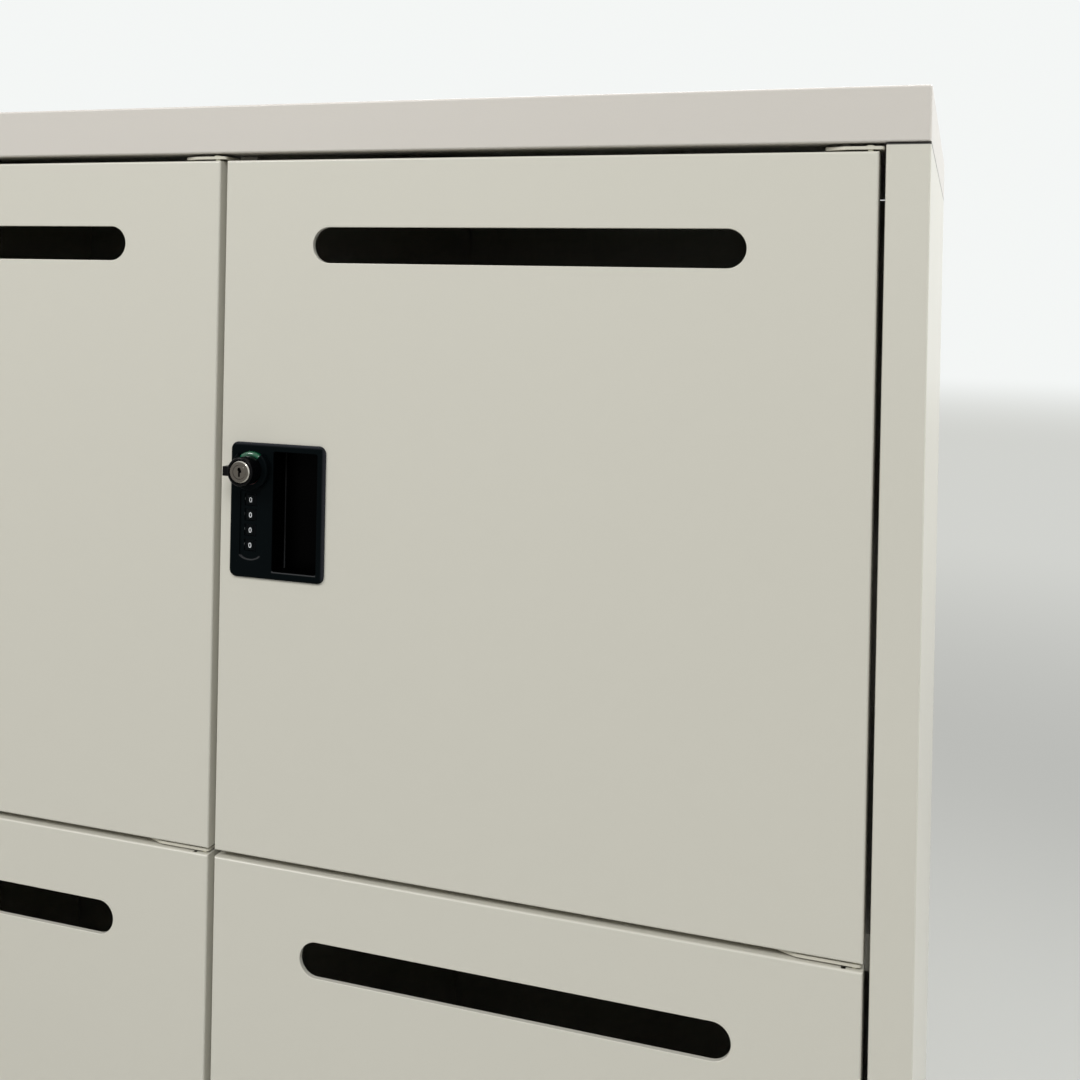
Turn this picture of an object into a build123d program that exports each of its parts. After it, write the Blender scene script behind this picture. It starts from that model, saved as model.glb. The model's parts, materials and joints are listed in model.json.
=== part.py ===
"""Parcel locker: two columns and two rows of steel compartments, each with a hinged door.

Millimetres. +X is to the right of someone facing the doors, +Y runs from the doors to the back,
+Z is up. The origin is at the centre of the footprint, on the floor.
"""

import math
import os

from build123d import *

# ---------------------------------------------------------------- driving dimensions
# cabinet
cabinet_width = 1000.0
cabinet_depth = 500.0
sheet = 1.2  # steel sheet of every folded panel
bend_radius = 1.5  # outer radius of the visible folds
cap_height = 35.4  # front and side flanges of the top cap
base_height = 35.4
stile_width = 27.2  # front of a side panel, beside the doors
seam = 0.8  # joint line between the side panels and the cap or base
tongue_height = 26.0  # side panel tongue inside the cap or base
tongue_lap = 14.0
lip_depth = 25.0  # inward return of the cap and base behind their front flange
back_flange = 18.0
stop_setback = 22.5  # door stops behind the front plane
stop_overlap = 12.0  # door stops reach this far behind a door's lock edge

# doors
door_height = 510.4
door_depth = 18.0
hinge_gap = 4.0
lock_gap = 1.4
outer_row_gap = 5.5  # above the upper doors and below the lower doors
middle_row_gap = 5.0
return_lip = 12.0
lock_side_lip = 8.0
rows = ("lower", "upper")
columns = ("left", "right")

# letter slot
slot_width = 313.0
slot_height = 25.8
slot_from_lock_edge = 72.5
slot_drop = 61.9  # door top to slot centre
slot_rim = 3.5
slot_edge_radius = 0.6

# door stiffener, a hat channel spot-welded to the back of the skin
channel_width = 40.0
channel_flange = 12.0
channel_from_lock_edge = 285.0
channel_end_room = 22.0

# hinges
pin_radius = 2.5
pin_from_edge = 5.6
pin_setback = 6.5
pin_clearance = 0.05
pin_length = 7.0  # into the door
pin_head_radius = 3.4
pin_head_height = 0.7
plate_thickness = 2.0
plate_inset = 2.5  # front edge behind the front plane
plate_nose_radius = 2.5
middle_plate_reach = -1.0  # right-hand end, past the door's hinge edge
middle_plate_length = 41.0  # straight front edge
outer_plate_reach = 3.0
outer_plate_length = 25.0
plate_sweep_length = 12.0  # where the front edge bends back
plate_sweep_drop = 4.5
plate_sweep_radius = 14.0
plate_lift = 1.4  # from a door to the outer hinge plates
spacer_radius = 4.0  # between an outer plate and the cap or base
spacer_from_pin = 16.0
pin_notch_width = 3.0  # clearance notch beside the pin in a door's flanges
pin_notch_depth = 5.0
pin_notch_offset = 6.6

# shelves and floor
shelf_band = 24.0  # height of a shelf's front flange
shelf_flange = 18.0
floor_upstand = 14.0
fit_gap = 0.2

# wall fixing holes in the back panel
wall_hole_radius = 5.0
wall_hole_spacing = 500.0
wall_hole_inset = 135.0  # from the floor and from the top

# lock housing
bezel_width = 76.9
bezel_height = 99.1
bezel_proud = 2.3
bezel_corner = 5.5
bezel_edge = 1.6
bezel_from_lock_edge = 9.5
bezel_drop = 206.9  # door top to bezel top
bezel_overlap = 3.2
housing_clearance = 0.2
housing_back = 21.0  # behind the door's front plane
recess_left = 35.2  # finger recess, from the bezel's left edge
recess_width = 35.7
recess_margin = 5.8  # above and below
recess_depth = 17.0
recess_corner = 1.6
recess_edge = 0.6

# knob and key cylinder
knob_from_bezel_left = 17.9
knob_drop = 19.4  # bezel top to knob axis
knob_radius = 10.4
knob_front = 19.8  # in front of the door plane
knob_edge = 1.1
knob_wall = 1.8  # round the key cylinder
knob_gap = 0.3
hood_radius = 15.0
hood_proud = 7.4
hood_lip = 0.9
hood_window_angle = 80.0
ring_radius = 13.2
ring_gap = 0.3
ring_edge = 2.0
shaft_radius = 6.0
running_clearance = 0.05
lug_length = 4.6
lug_height = 7.0
lug_depth = 7.0
cylinder_clearance = 0.05
cylinder_depth = 10.0
cylinder_proud = 0.4
cylinder_edge = 1.2
plug_radius = 5.2
plug_depth = 9.0
keyway_width = 1.5
keyway_height = 6.6
keyway_depth = 7.0

# cam behind the lock
cam_thickness = 2.5
cam_length = 24.2
cam_width = 14.0
cam_hub_radius = 10.0
cam_gap = 0.8  # behind the door stops
nut_across = 17.0
nut_height = 3.0

# combination dials
dial_count = 4
dial_from_bezel_left = 16.9
dial_pitch = 11.1
dial_radius = 11.0
dial_height = 8.2
dial_sides = 10
dial_groove = 0.9
first_dial_drop = 42.0  # bezel top to the first dial's centre
spindle_radius = 1.5
pocket_gap = 0.4
window_width = 10.0
window_lip = 0.4  # thickness of the dial panel beside the dials
panel_width = 17.0
panel_depth = 0.8
panel_top_drop = 35.2
panel_foot = 10.4  # last dial's centre to the panel's rounded end

# rubber door buffers and rivets
buffer_radius = 3.0
buffer_gap = 0.3
buffer_from_lock_edge = 4.6
buffer_inset = 60.0
rivet_radius = 3.5
rivet_height = 1.4
rivet_count = 3

# ---------------------------------------------------------------- derived places
half_width = cabinet_width / 2
front = -cabinet_depth / 2
back = cabinet_depth / 2
row_bottom = {
    "lower": base_height + outer_row_gap,
    "upper": base_height + outer_row_gap + door_height + middle_row_gap,
}
cabinet_height = row_bottom["upper"] + door_height + outer_row_gap + cap_height
middle_gap_centre = row_bottom["upper"] - middle_row_gap / 2
cap_underside = cabinet_height - cap_height
opening_edge = half_width - stile_width
door_left = {"left": -opening_edge + lock_gap, "right": lock_gap}
door_right = {"left": -hinge_gap, "right": opening_edge - hinge_gap}
stop_front = front + stop_setback
stop_back = stop_front + sheet
pin_y = front + pin_setback
housing_rear = front + housing_back
bezel_front = front - bezel_proud
cam_front = stop_back + cam_gap
cam_rear = cam_front + cam_thickness
dial_axis_y = bezel_front + dial_radius
cylinder_radius = knob_radius - knob_wall


def slab(x0, x1, y0, y1, z0, z1):
    """A box between two corners."""
    return Pos((x0 + x1) / 2, (y0 + y1) / 2, (z0 + z1) / 2) * Box(x1 - x0, y1 - y0, z1 - z0)


def rod_y(x, z, y0, y1, radius):
    """A round bar along Y."""
    return Pos(x, (y0 + y1) / 2, z) * Rot(90, 0, 0) * Cylinder(radius, y1 - y0)


def rod_z(x, y, z0, z1, radius):
    """A round bar along Z."""
    return Pos(x, y, (z0 + z1) / 2) * Cylinder(radius, z1 - z0)


def slot_bar(x, z, y0, y1, length, height):
    """A bar along Y with a section that has fully rounded ends, length across X."""
    profile = Plane.XZ * SlotOverall(length, height)
    return Pos(x, y1, z) * extrude(profile, y1 - y0)


def rounded_bar(x0, x1, z0, z1, y0, y1, corner):
    """A bar along Y with a rounded rectangular section."""
    profile = Plane.XZ * RectangleRounded(x1 - x0, z1 - z0, corner)
    return Pos((x0 + x1) / 2, y1, (z0 + z1) / 2) * extrude(profile, y1 - y0)


def edges_at(shape, **place):
    """Edges whose centre lies at every given coordinate, such as X=1.0."""
    found = shape.edges()
    for name, value in place.items():
        found = found.filter_by(lambda e, n=name, v=value: abs(getattr(e.center(), n) - v) < 0.01)
    return found


def save(node, *solids):
    """One STEP file per node."""
    body = solids[0] if len(solids) == 1 else Compound(children=list(solids))
    export_step(body, f"parts/{node}.step")


# ---------------------------------------------------------------- carcass
def make_cap():
    """Top cap: a tray turned over, with a return behind its front flange."""
    shell = slab(-half_width, half_width, front, back, cap_underside, cabinet_height)
    edges = edges_at(shell, Y=front, Z=cabinet_height) + edges_at(shell, X=half_width, Z=cabinet_height)
    edges += edges_at(shell, X=-half_width, Z=cabinet_height) + edges_at(shell, X=half_width, Y=front)
    edges += edges_at(shell, X=-half_width, Y=front) + edges_at(shell, Y=front, Z=cap_underside)
    shell = fillet(edges, bend_radius)
    inner = half_width - sheet
    hollow = slab(-inner, inner, front + sheet, back - sheet, cap_underside + sheet, cabinet_height - sheet)
    mouth = slab(-inner, inner, front + lip_depth, back - sheet, cap_underside, cap_underside + sheet)
    return shell - hollow - mouth


def make_base():
    """Base tray: a flat underside with upright flanges, and returns at the front and back."""
    shell = slab(-half_width, half_width, front, back, 0, base_height)
    edges = edges_at(shell, Y=front, Z=base_height) + edges_at(shell, X=half_width, Y=front)
    edges += edges_at(shell, X=-half_width, Y=front) + edges_at(shell, Y=front, Z=0)
    shell = fillet(edges, bend_radius)
    inner = half_width - sheet
    hollow = slab(-inner, inner, front + sheet, back - sheet, sheet, base_height - sheet)
    mouth_back = back - lip_depth
    mouth = slab(-inner, inner, front + lip_depth, mouth_back, base_height - sheet, base_height)
    corner = slab(inner - 2 * sheet, inner, mouth_back, back - sheet, base_height - sheet, base_height)
    return shell - hollow - mouth - corner - mirror(corner, Plane.YZ)


def make_side(side):
    """Side panel: outer wall, front stile, return and back flange, with a door stop on the lock side."""
    bottom = base_height + seam
    top = cap_underside - seam
    wall = slab(half_width - sheet, half_width, front, back, bottom, top)
    stile = slab(opening_edge, half_width, front, front + sheet, bottom, top)
    turn = slab(opening_edge, opening_edge + sheet, front, stop_back, bottom, top)
    panel = wall + stile + turn
    edges = edges_at(panel, X=half_width, Y=front) + edges_at(panel, X=opening_edge, Y=front)
    panel = fillet(edges, bend_radius * 0.95)
    if side < 0:
        stop_edge = opening_edge - lock_gap - stop_overlap
        panel += slab(stop_edge, opening_edge + sheet, stop_front, stop_back, bottom, top)
    panel += slab(half_width - back_flange, half_width, back - sheet, back, bottom, top)
    inner = half_width - sheet
    y0, y1 = front + lip_depth + fit_gap, back - lip_depth - fit_gap
    for z0, z1 in (
        (cap_underside - tongue_lap, cap_underside + tongue_height),
        (base_height - tongue_height, base_height + tongue_lap),
    ):
        panel += slab(inner - sheet, inner, y0, y1, z0, z1)
    return panel if side > 0 else mirror(panel, Plane.YZ)


def make_back():
    """Back panel, held in front of the side panels' back flanges."""
    inner = half_width - sheet
    panel = slab(-inner, inner, back - 2 * sheet, back - sheet, base_height + sheet, cap_underside - seam)
    for x in (-wall_hole_spacing / 2, wall_hole_spacing / 2):
        for z in (wall_hole_inset, cabinet_height - wall_hole_inset):
            panel -= rod_y(x, z, back - 3 * sheet, back, wall_hole_radius)
    return panel


def make_partition():
    """Centre partition, and the door stop strip welded to its front edge on the lock side."""
    bottom = base_height + sheet
    web_back = back - 2 * sheet
    tongue_front = max(front + lip_depth + fit_gap, stop_back)
    half = sheet / 2
    web = slab(-half, half, stop_back, web_back, bottom, cap_underside - seam)
    web += slab(-half, half, tongue_front, web_back, bottom, cabinet_height - sheet)
    stop_edge = door_left["right"] + stop_overlap
    stop = slab(-half, stop_edge, stop_front, stop_back, bottom, cap_underside - seam)
    return web, stop


def column_span(column):
    """Inner faces of a column, and the free width between its door stop and its hinge side."""
    half = sheet / 2
    if column == "right":
        walls = (half, half_width - sheet)
        hinge_side = opening_edge
    else:
        walls = (-half_width + sheet, -half)
        hinge_side = -half
    return walls, (door_left[column] + stop_overlap, hinge_side)


def make_shelf(column):
    """Shelf between two rows: a sheet with a front band behind the doors and side flanges."""
    (x0, x1), (s0, s1) = column_span(column)
    top = middle_gap_centre + shelf_band / 2
    shelf_back = back - 2 * sheet
    shelf = slab(x0, x1, stop_back, shelf_back, top - sheet, top)
    shelf += slab(s0 + fit_gap, s1 - fit_gap, stop_front, stop_back, top - shelf_band, top)
    flange_front = stop_back + shelf_flange
    shelf += slab(x0, x0 + sheet, flange_front, shelf_back, top - shelf_flange, top)
    shelf += slab(x1 - sheet, x1, flange_front, shelf_back, top - shelf_flange, top)
    shelf += slab(x0, x1, shelf_back - sheet, shelf_back, top - shelf_flange, top)
    return shelf


def make_floor():
    """Floor of the lower compartments, resting on the base's returns, with door stops up its front."""
    inner = half_width - sheet
    bottom = base_height
    front_edge = stop_front
    floor = slab(-inner + sheet, inner - sheet, front_edge, back - 2 * sheet, bottom, bottom + sheet)
    for column in columns:
        s0, s1 = column_span(column)[1]
        top = bottom + floor_upstand
        floor += slab(s0 + fit_gap, s1 - fit_gap, front_edge, front_edge + sheet, bottom, top)
    for s0, s1 in (
        (-inner, column_span("left")[1][0] + fit_gap),
        (column_span("right")[1][1] - fit_gap, inner),
    ):
        floor -= slab(s0, s1, front_edge, stop_back, bottom, bottom + sheet)
    return floor


def make_rivets():
    """Domed rivet heads inside the shelves' side flanges."""
    heads = []
    z = middle_gap_centre + shelf_band / 2 - shelf_flange / 2
    first = stop_back + 2 * shelf_flange
    step = (back - first - 2 * shelf_flange) / (rivet_count - 1)
    for column in columns:
        x0, x1 = column_span(column)[0]
        for face, way in ((x0 + sheet, 1), (x1 - sheet, -1)):
            for i in range(rivet_count):
                head = Rot(0, 90 * way, 0) * Cone(rivet_radius, rivet_radius * 0.55, rivet_height)
                heads.append(Pos(face + way * rivet_height / 2, first + i * step, z) * head)
    return heads


# ---------------------------------------------------------------- hinges and buffers
def make_hinge_plate(column, z0, reach, length):
    """Flat plate with a rounded nose round the pin and a front edge that bends back at its other end."""
    edge = front + plate_inset
    right = door_right[column] + reach
    sweep_start = right - length
    left = sweep_start - plate_sweep_length
    swept = edge + plate_sweep_drop
    outline = Polyline(
        (right, stop_front),
        (right, edge),
        (sweep_start, edge),
        (left, swept),
        (left, stop_front),
        close=True,
    )
    plate = Pos(0, 0, z0) * extrude(make_face(outline), plate_thickness)
    for x, y, radius in (
        (right, edge, plate_nose_radius),
        (sweep_start, edge, plate_sweep_radius),
        (left, swept, plate_nose_radius),
    ):
        plate = fillet(edges_at(plate, X=x, Y=y), radius)
    pin_x = door_right[column] - pin_from_edge
    return plate - rod_z(pin_x, pin_y, z0, z0 + plate_thickness, pin_radius)


def make_hinges():
    """Hinge plates in the gaps above, between and below the doors, with riveted pins and spacers."""
    solids = []
    low_door = row_bottom["lower"]
    high_door = row_bottom["upper"] + door_height
    low_plate = low_door - plate_lift - plate_thickness
    middle_plate = middle_gap_centre - plate_thickness / 2
    high_plate = high_door + plate_lift
    for column in columns:
        x = door_right[column] - pin_from_edge
        for z in (low_plate, high_plate):
            solids.append(make_hinge_plate(column, z, outer_plate_reach, outer_plate_length))
        solids.append(make_hinge_plate(column, middle_plate, middle_plate_reach, middle_plate_length))
        low_pin = rod_z(x, pin_y, low_plate, low_door + pin_length, pin_radius)
        low_pin += rod_z(x, pin_y, low_plate - pin_head_height, low_plate, pin_head_radius)
        middle_ends = (row_bottom["lower"] + door_height - pin_length, row_bottom["upper"] + pin_length)
        middle_pin = rod_z(x, pin_y, *middle_ends, pin_radius)
        high_top = high_plate + plate_thickness
        high_pin = rod_z(x, pin_y, high_door - pin_length, high_top, pin_radius)
        high_pin += rod_z(x, pin_y, high_top, high_top + pin_head_height, pin_head_radius)
        solids += [low_pin, middle_pin, high_pin]
        spacer_x = x - spacer_from_pin
        spacer_y = stop_front - spacer_radius
        solids.append(rod_z(spacer_x, spacer_y, base_height, low_plate, spacer_radius))
        solids.append(rod_z(spacer_x, spacer_y, high_top, cap_underside, spacer_radius))
    return solids


def make_buffers():
    """Rubber buffers on the door stops, two beside each lock edge."""
    solids = []
    for column in columns:
        for row in rows:
            x = door_left[column] + buffer_from_lock_edge
            y0 = front + door_depth + buffer_gap
            for z in (row_bottom[row] + buffer_inset, row_bottom[row] + door_height - buffer_inset):
                pad = rod_y(x, z, y0, stop_front, buffer_radius)
                solids.append(fillet(pad.edges().sort_by(Axis.Y)[0], 0.8))
    return solids


# ---------------------------------------------------------------- door
def make_door(x0, x1, z0):
    """Door: a folded tray with returns, letter slot, lock cut-out and pin holes."""
    z1 = z0 + door_height
    rear = front + door_depth
    door = slab(x0, x1, front, rear, z0, z1)
    door = fillet(door.faces().sort_by(Axis.Y)[0].edges(), bend_radius)
    hollow = slab(x0 + sheet, x1 - sheet, front + sheet, rear - sheet, z0 + sheet, z1 - sheet)
    hollow = fillet(hollow.faces().sort_by(Axis.Y)[0].edges(), bend_radius - sheet)
    mouth_z0, mouth_z1 = z0 + return_lip, z1 - return_lip
    mouth = slab(x0 + lock_side_lip, x1 - return_lip, rear - sheet, rear, mouth_z0, mouth_z1)
    door = door - hollow - mouth

    slot_x = x0 + slot_from_lock_edge + slot_width / 2
    slot_z = z1 - slot_drop
    rim = 2 * sheet
    door += slot_bar(slot_x, slot_z, front + sheet, front + slot_rim, slot_width + rim, slot_height + rim)
    door -= slot_bar(slot_x, slot_z, front, front + slot_rim, slot_width, slot_height)
    mouth_edges = door.edges().filter_by(
        lambda e: abs(e.center().Y - front) < 0.01
        and abs(e.center().Z - slot_z) < slot_height
        and abs(e.center().X - slot_x) < slot_width / 2 + 1
    )
    door = fillet(mouth_edges, slot_edge_radius)

    bx = x0 + bezel_from_lock_edge
    bz = z1 - bezel_drop
    inset = bezel_overlap
    cut_x0, cut_x1 = bx + inset, bx + bezel_width - inset
    door -= slab(cut_x0, cut_x1, front, front + sheet, bz - bezel_height + inset, bz - inset)
    pin_x = x1 - pin_from_edge
    hole = pin_radius + pin_clearance
    for flange_z in (z0, z1 - sheet):
        door -= rod_z(pin_x, pin_y, flange_z, flange_z + sheet, hole)
        notch_x0 = pin_x - pin_notch_offset - pin_notch_width / 2
        notch_x1 = notch_x0 + pin_notch_width
        notch_y = front + bend_radius
        door -= slab(notch_x0, notch_x1, notch_y, notch_y + pin_notch_depth, flange_z, flange_z + sheet)
    return door


def make_channel(x0, z0):
    """Hat channel down the back of the door skin, below the letter slot."""
    z1 = z0 + door_height
    low = z0 + channel_end_room
    high = z1 - slot_drop - slot_height - channel_end_room
    left = x0 + channel_from_lock_edge
    right = left + channel_width
    skin = front + sheet
    crown = front + door_depth - 2 * sheet
    channel = slab(left, right, skin, crown, low, high)
    channel -= slab(left + sheet, right - sheet, skin, crown - sheet, low, high)
    channel += slab(left - channel_flange, left, skin, skin + sheet, low, high)
    channel += slab(right, right + channel_flange, skin, skin + sheet, low, high)
    return channel


# ---------------------------------------------------------------- lock
class LockPlace:
    """Axes and faces of one door's lock."""

    def __init__(self, x0, z0):
        self.left = x0 + bezel_from_lock_edge
        self.right = self.left + bezel_width
        self.top = z0 + door_height - bezel_drop
        self.bottom = self.top - bezel_height
        self.axis_x = self.left + knob_from_bezel_left
        self.knob_z = self.top - knob_drop
        self.dial_x = self.left + dial_from_bezel_left
        first = self.top - first_dial_drop
        self.dial_z = [first - i * dial_pitch for i in range(dial_count)]


def make_housing(lock):
    """Lock housing: bezel, hood round the knob, dial pockets, finger recess, and the dial spindle."""
    inset = bezel_overlap + housing_clearance
    bezel = rounded_bar(
        lock.left, lock.right, lock.bottom, lock.top, bezel_front, front, bezel_corner
    )
    bezel = fillet(bezel.faces().sort_by(Axis.Y)[0].edges(), bezel_edge)
    body = slab(
        lock.left + inset, lock.right - inset, front, housing_rear, lock.bottom + inset, lock.top - inset
    )
    hood = rod_y(lock.axis_x, lock.knob_z, front - hood_proud, bezel_front, hood_radius)
    hood = fillet(hood.faces().sort_by(Axis.Y)[0].edges(), 1.2)
    housing = bezel + body + hood

    hood_front = front - hood_proud
    cavity = rod_y(lock.axis_x, lock.knob_z, hood_front + hood_lip, bezel_front, ring_radius + ring_gap)
    cavity += rod_y(lock.axis_x, lock.knob_z, hood_front, bezel_front, knob_radius + ring_gap)
    half_angle = math.radians(hood_window_angle / 2)
    reach = hood_radius * 2
    wedge = Polyline(
        (0, 0),
        (-reach * math.sin(half_angle), reach * math.cos(half_angle)),
        (reach * math.sin(half_angle), reach * math.cos(half_angle)),
        close=True,
    )
    window = extrude(Plane.XZ * make_face(wedge), hood_proud - bezel_proud)
    window = Pos(lock.axis_x, bezel_front, lock.knob_z) * window
    housing = housing - cavity - window

    bore = shaft_radius + running_clearance
    housing -= rod_y(lock.axis_x, lock.knob_z, bezel_front, housing_rear, bore)

    recess_x0 = lock.left + recess_left
    recess = rounded_bar(
        recess_x0,
        recess_x0 + recess_width,
        lock.bottom + recess_margin,
        lock.top - recess_margin,
        bezel_front,
        bezel_front + recess_depth,
        recess_corner,
    )
    housing -= recess
    rim = housing.edges().filter_by(
        lambda e: abs(e.center().Y - bezel_front) < 0.01
        and e.center().X > recess_x0 - 0.1
        and e.center().X < recess_x0 + recess_width + 0.1
        and abs(e.center().Z - (lock.top + lock.bottom) / 2) < bezel_height / 2 - recess_margin + 0.1
    )
    housing = fillet(rim, recess_edge)

    panel_top = lock.top - panel_top_drop
    panel_end = lock.dial_z[-1] - panel_foot
    half_panel = panel_width / 2
    arc_centre = panel_end + half_panel * 0.55
    panel = slab(
        lock.dial_x - half_panel,
        lock.dial_x + half_panel,
        bezel_front,
        bezel_front + panel_depth,
        arc_centre,
        panel_top,
    )
    end = Plane.XZ * Ellipse(half_panel, half_panel * 0.55)
    panel += Pos(lock.dial_x, bezel_front + panel_depth, arc_centre) * extrude(end, panel_depth)
    housing -= panel

    pocket = dial_radius + pocket_gap
    half_dial = dial_height / 2 + pocket_gap / 2
    half_window = window_width / 2
    for z in lock.dial_z:
        z0, z1 = z - half_dial, z + half_dial
        round_pocket = rod_z(lock.dial_x, dial_axis_y, z0, z1, pocket)
        behind = bezel_front + panel_depth + window_lip
        round_pocket &= slab(
            lock.dial_x - pocket, lock.dial_x + pocket, behind, dial_axis_y + pocket, z0, z1
        )
        opening = slab(
            lock.dial_x - half_window, lock.dial_x + half_window, bezel_front, dial_axis_y, z0, z1
        )
        housing = housing - round_pocket - opening
    spindle_top = lock.dial_z[0] + dial_pitch / 2 + 1.0
    spindle_bottom = lock.dial_z[-1] - dial_pitch / 2 - 1.0
    spindle = rod_z(lock.dial_x, dial_axis_y, spindle_bottom, spindle_top, spindle_radius)
    return housing - spindle, spindle


def make_knob(lock):
    """Turning knob with its indicator lug, shaft and the pocket for the key cylinder."""
    tip = front - knob_front
    barrel = rod_y(lock.axis_x, lock.knob_z, tip, bezel_front - knob_gap, knob_radius)
    barrel = fillet(barrel.faces().sort_by(Axis.Y)[0].edges(), knob_edge)
    lug = slab(
        lock.axis_x - knob_radius - lug_length,
        lock.axis_x - knob_radius / 2,
        tip + 0.8,
        tip + 0.8 + lug_depth,
        lock.knob_z - lug_height / 2,
        lock.knob_z + lug_height / 2,
    )
    lug = fillet(edges_at(lug, X=lock.axis_x - knob_radius - lug_length), 1.4)
    shaft = rod_y(lock.axis_x, lock.knob_z, bezel_front - knob_gap, cam_rear + nut_height, shaft_radius)
    knob = barrel + lug + shaft
    pocket = rod_y(lock.axis_x, lock.knob_z, tip, tip + cylinder_depth, cylinder_radius + cylinder_clearance)
    return knob - pocket


def make_ring(lock):
    """Indicator ring on the knob's barrel, seen through the window of the hood."""
    y0 = front - hood_proud + hood_lip + ring_gap
    y1 = bezel_front - knob_gap
    ring = rod_y(lock.axis_x, lock.knob_z, y0, y1, ring_radius)
    ring = fillet(ring.faces().sort_by(Axis.Y)[0].edges(), ring_edge)
    return ring - rod_y(lock.axis_x, lock.knob_z, y0, y1, knob_radius + running_clearance)


def make_cylinder(lock):
    """Metal key cylinder in the knob, with a chamfered face and a bore for the plug."""
    tip = front - knob_front
    face = tip - cylinder_proud
    cylinder = rod_y(lock.axis_x, lock.knob_z, face, tip + cylinder_depth, cylinder_radius)
    cylinder = chamfer(cylinder.faces().sort_by(Axis.Y)[0].edges(), cylinder_edge)
    bore = plug_radius + running_clearance
    return cylinder - rod_y(lock.axis_x, lock.knob_z, face, face + plug_depth + running_clearance, bore)


def make_plug(lock):
    """Key plug with its keyway."""
    face = front - knob_front - cylinder_proud
    x, z = lock.axis_x, lock.knob_z
    plug = rod_y(x, z, face, face + plug_depth, plug_radius)
    plug = chamfer(plug.faces().sort_by(Axis.Y)[0].edges(), 0.3)
    half = keyway_width / 2
    half_height = keyway_height / 2
    keyway = slab(x - half, x + half, face, face + keyway_depth, z - half_height, z + half_height)
    keyway += slab(x - half, x + keyway_width * 1.2, face, face + keyway_depth, z - 0.4, z + keyway_width)
    keyway += rod_y(x, z + half_height - 1.4, face, face + keyway_depth, 1.4)
    return plug - keyway


def make_cam(lock):
    """Cam plate, hanging down when unlocked, and the nut that holds it on the shaft."""
    x, z = lock.axis_x, lock.knob_z
    end = cam_length - cam_width / 2
    cam = rod_y(x, z, cam_front, cam_rear, cam_hub_radius)
    cam += slab(x - cam_width / 2, x + cam_width / 2, cam_front, cam_rear, z - end, z)
    cam += rod_y(x, z - end, cam_front, cam_rear, cam_width / 2)
    cam -= rod_y(x, z, cam_front, cam_rear, shaft_radius)
    hexagon = RegularPolygon(nut_across / 2, 6, major_radius=False)
    nut = Pos(x, cam_rear + nut_height, z) * extrude(Plane.XZ * hexagon, nut_height)
    nut -= rod_y(x, z, cam_rear, cam_rear + nut_height, shaft_radius)
    return cam, nut


def make_dial(lock, z):
    """Ten-sided combination dial with a grip groove at each corner, one flat facing the front."""
    profile = Rot(0, 0, 90 + 180 / dial_sides) * RegularPolygon(dial_radius, dial_sides)
    dial = extrude(profile, dial_height / 2, both=True)
    dial = chamfer(dial.faces().filter_by(Axis.Z).edges(), 0.5)
    for i in range(dial_sides):
        angle = math.radians(-90 + 180 / dial_sides + i * 360 / dial_sides)
        reach = dial_radius + dial_groove * 0.2
        dial -= Pos(reach * math.cos(angle), reach * math.sin(angle), 0) * Cylinder(dial_groove, dial_height)
    dial -= Cylinder(spindle_radius + running_clearance, dial_height)
    return Pos(lock.dial_x, dial_axis_y, z) * dial


# ---------------------------------------------------------------- assembly
def build():
    """Writes every node."""
    os.makedirs("parts", exist_ok=True)
    save("top_cap", make_cap())
    save("base_tray", make_base())
    save("side_panel_right", make_side(1))
    save("side_panel_left", make_side(-1))
    save("back_panel", make_back())
    save("centre_partition", *make_partition())
    save("floor_panel", make_floor())
    save("hinges", *make_hinges())
    save("door_buffers", *make_buffers())
    save("shelf_rivets", *make_rivets())
    for column in columns:
        save(f"shelf_{column}", make_shelf(column))
        for row in rows:
            name = f"{row}_{column}"
            x0, x1, z0 = door_left[column], door_right[column], row_bottom[row]
            lock = LockPlace(x0, z0)
            save(f"door_{name}", make_door(x0, x1, z0))
            save(f"door_stiffener_{name}", make_channel(x0, z0))
            save(f"lock_housing_{name}", *make_housing(lock))
            save(f"knob_{name}", make_knob(lock))
            save(f"indicator_ring_{name}", make_ring(lock))
            save(f"key_cylinder_{name}", make_cylinder(lock))
            save(f"key_plug_{name}", make_plug(lock))
            save(f"cam_{name}", *make_cam(lock))
            for i, z in enumerate(lock.dial_z, start=1):
                save(f"dial_{i}_{name}", make_dial(lock, z))


build()
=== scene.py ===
import json
import logging
import math
from dataclasses import dataclass, field
from enum import Enum

import bmesh
import bpy
from mathutils import Matrix, Vector


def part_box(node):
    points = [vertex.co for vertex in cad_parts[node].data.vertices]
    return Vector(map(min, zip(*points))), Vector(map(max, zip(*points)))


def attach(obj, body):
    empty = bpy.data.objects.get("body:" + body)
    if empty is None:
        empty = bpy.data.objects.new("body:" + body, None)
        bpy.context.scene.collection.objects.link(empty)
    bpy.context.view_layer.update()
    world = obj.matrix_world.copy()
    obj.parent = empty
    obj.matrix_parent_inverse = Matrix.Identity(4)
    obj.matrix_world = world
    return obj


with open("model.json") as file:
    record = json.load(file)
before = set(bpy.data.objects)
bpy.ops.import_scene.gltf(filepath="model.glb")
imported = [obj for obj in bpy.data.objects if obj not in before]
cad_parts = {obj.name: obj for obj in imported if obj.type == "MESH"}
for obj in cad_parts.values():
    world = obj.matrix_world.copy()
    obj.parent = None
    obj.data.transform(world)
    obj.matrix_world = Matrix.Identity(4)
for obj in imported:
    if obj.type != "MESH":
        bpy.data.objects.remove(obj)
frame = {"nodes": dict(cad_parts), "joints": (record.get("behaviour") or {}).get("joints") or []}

LOG = logging.getLogger("parcel_locker")
MM = 0.001
CRISP = 0.2 * MM  # width of a colour's border where two finishes meet


class Column(Enum):
    """The two columns of compartments."""

    LEFT = "left"
    RIGHT = "right"


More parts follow.
